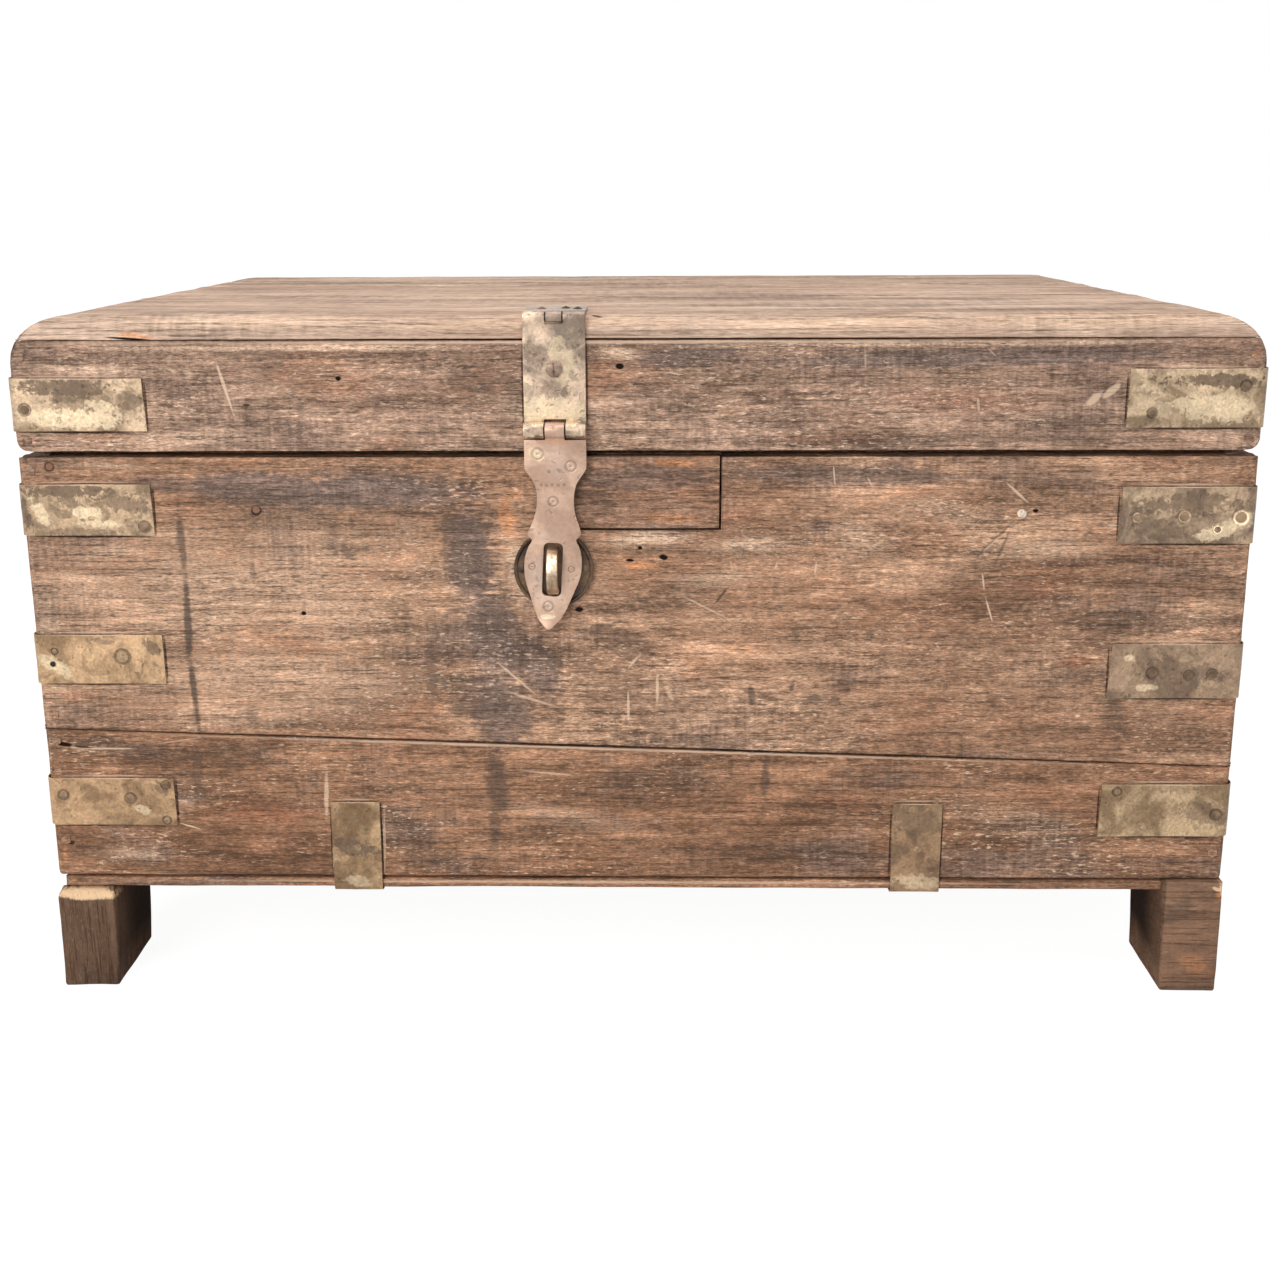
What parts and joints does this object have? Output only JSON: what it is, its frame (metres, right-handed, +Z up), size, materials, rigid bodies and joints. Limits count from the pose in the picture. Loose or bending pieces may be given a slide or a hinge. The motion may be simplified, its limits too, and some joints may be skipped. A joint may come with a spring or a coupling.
{
  "type": "wooden storage chest",
  "caption": "Low weathered wooden chest on block feet, with a flat hinged lid, brass corner straps and a long hasp that drops over a staple on the front.",
  "frame": {"origin": "on the floor, under the middle of the chest's bounding box", "axes": "+X to the right along the chest's width, -Y out of its front, +Z up"},
  "size_m": [0.953, 0.5551, 0.5589],
  "materials": {
    "weathered_wood": "weathered, dry, unpolished planks with dark stains",
    "foot_wood": "darker, greyer weathered blocks",
    "peg_wood": "dark hardwood end grain",
    "strap_brass": "dull, mottled, tarnished sheet brass",
    "hasp_brass": "worn sheet brass with a dark patina",
    "hasp_metal": "smooth worn cast leaf, pinkish grey-brown",
    "plate_brass": "dark greenish tarnish with a rubbed rim",
    "staple_metal": "rubbed bright grey metal",
    "hinge_iron": "blackened forged iron",
    "nail_iron": "dark forged iron"
  },
  "bodies": {
    "chest": {"back_lower_board": "weathered_wood", "back_upper_board": "weathered_wood", "base_strap_back_left": "strap_brass", "base_strap_back_right": "strap_brass", "base_strap_front_left": "strap_brass", "base_strap_front_right": "strap_brass", "body_nails": "nail_iron", "bottom_board_back": "weathered_wood", "bottom_board_front": "weathered_wood", "bottom_board_middle": "weathered_wood", "carcass_pegs": "peg_wood", "foot_back_left": "foot_wood", "foot_back_right": "foot_wood", "foot_front_left": "foot_wood", "foot_front_right": "foot_wood", "foot_nails": "nail_iron", "front_lower_board": "weathered_wood", "front_patch": "weathered_wood", "front_upper_board": "weathered_wood", "hinge_left_body_leaf": "hinge_iron", "hinge_pins": "hinge_iron", "hinge_right_body_leaf": "hinge_iron", "left_lower_board": "weathered_wood", "left_upper_board": "weathered_wood", "right_lower_board": "weathered_wood", "right_upper_board": "weathered_wood", "staple": "staple_metal", "staple_plate": "plate_brass", "strap_back_left_bottom": "strap_brass", "strap_back_left_middle": "strap_brass", "strap_back_left_top": "strap_brass", "strap_back_right_bottom": "strap_brass", "strap_back_right_middle": "strap_brass", "strap_back_right_top": "strap_brass", "strap_front_left_bottom": "strap_brass", "strap_front_left_middle": "strap_brass", "strap_front_left_top": "strap_brass", "strap_front_right_bottom": "strap_brass", "strap_front_right_middle": "strap_brass", "strap_front_right_top": "strap_brass"},
    "lid": {"hasp_middle_leaf": "hasp_brass", "hasp_pins": "nail_iron", "hasp_screw": "nail_iron", "hasp_top_leaf": "hasp_brass", "hinge_left_lid_leaf": "hinge_iron", "hinge_right_lid_leaf": "hinge_iron", "lid_back_rail": "weathered_wood", "lid_front_rail": "weathered_wood", "lid_left_rail": "weathered_wood", "lid_nails": "nail_iron", "lid_pegs": "peg_wood", "lid_right_rail": "weathered_wood", "lid_strap_back_left": "strap_brass", "lid_strap_back_right": "strap_brass", "lid_strap_front_left": "strap_brass", "lid_strap_front_right": "strap_brass", "lid_top_back_board": "weathered_wood", "lid_top_front_board": "weathered_wood", "lid_top_middle_board": "weathered_wood"},
    "hasp": {"hasp_leaf": "hasp_metal"}
  },
  "joints": [
    {"name": "lid_hinge", "type": "hinge", "parent": "chest", "child": "lid", "pos_m": [0, 0.27205, 0.4485], "axis": [-1, 0, 0], "range_deg": [0, 105]},
    {"name": "hasp_hinge", "type": "hinge", "parent": "lid", "child": "hasp", "pos_m": [-0.059, -0.25995, 0.468], "axis": [-1, 0, 0], "range_deg": [0, 170]}
  ]
}
